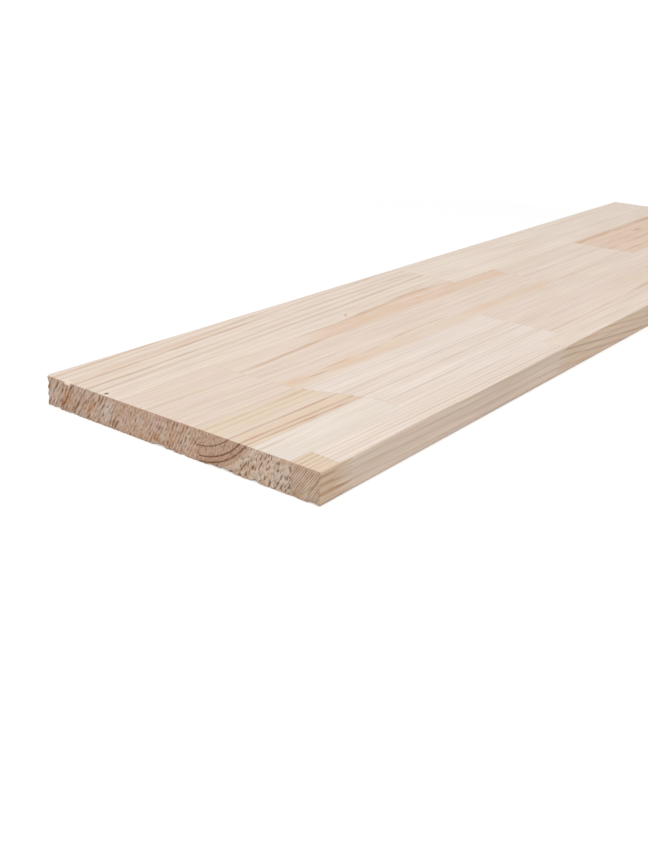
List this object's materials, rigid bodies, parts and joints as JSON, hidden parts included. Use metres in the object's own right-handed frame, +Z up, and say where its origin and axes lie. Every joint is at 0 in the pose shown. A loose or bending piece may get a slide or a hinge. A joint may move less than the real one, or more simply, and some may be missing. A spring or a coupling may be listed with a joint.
{
  "type": "finger-jointed laminated pine board",
  "caption": "Flat rectangular softwood board, glued up edge to edge from finger-jointed staves, planed on its faces and edges and sawn square at its ends.",
  "frame": {"origin": "middle of the underside", "axes": "+X along the grain, away from the end that shows in the picture, +Y across the staves towards the full-width back stave, +Z up through the thickness"},
  "size_m": [0.8, 0.2, 0.018],
  "materials": {
    "pine_pale": "planed, bare",
    "pine_cream": "planed, bare",
    "pine_pink": "planed, bare",
    "pine_honey": "planed, bare"
  },
  "bodies": {
    "root": {"stave_1_block_1": "pine_cream", "stave_1_block_2": "pine_cream", "stave_2_block_1": "pine_pink", "stave_2_block_2": "pine_honey", "stave_2_block_3": "pine_pink", "stave_2_block_4": "pine_honey", "stave_3_block_1": "pine_honey", "stave_3_block_2": "pine_pale", "stave_3_block_3": "pine_pink", "stave_3_block_4": "pine_pale", "stave_4_block_1": "pine_honey", "stave_4_block_2": "pine_pale", "stave_4_block_3": "pine_honey", "stave_4_block_4": "pine_cream"}
  },
  "joints": []
}
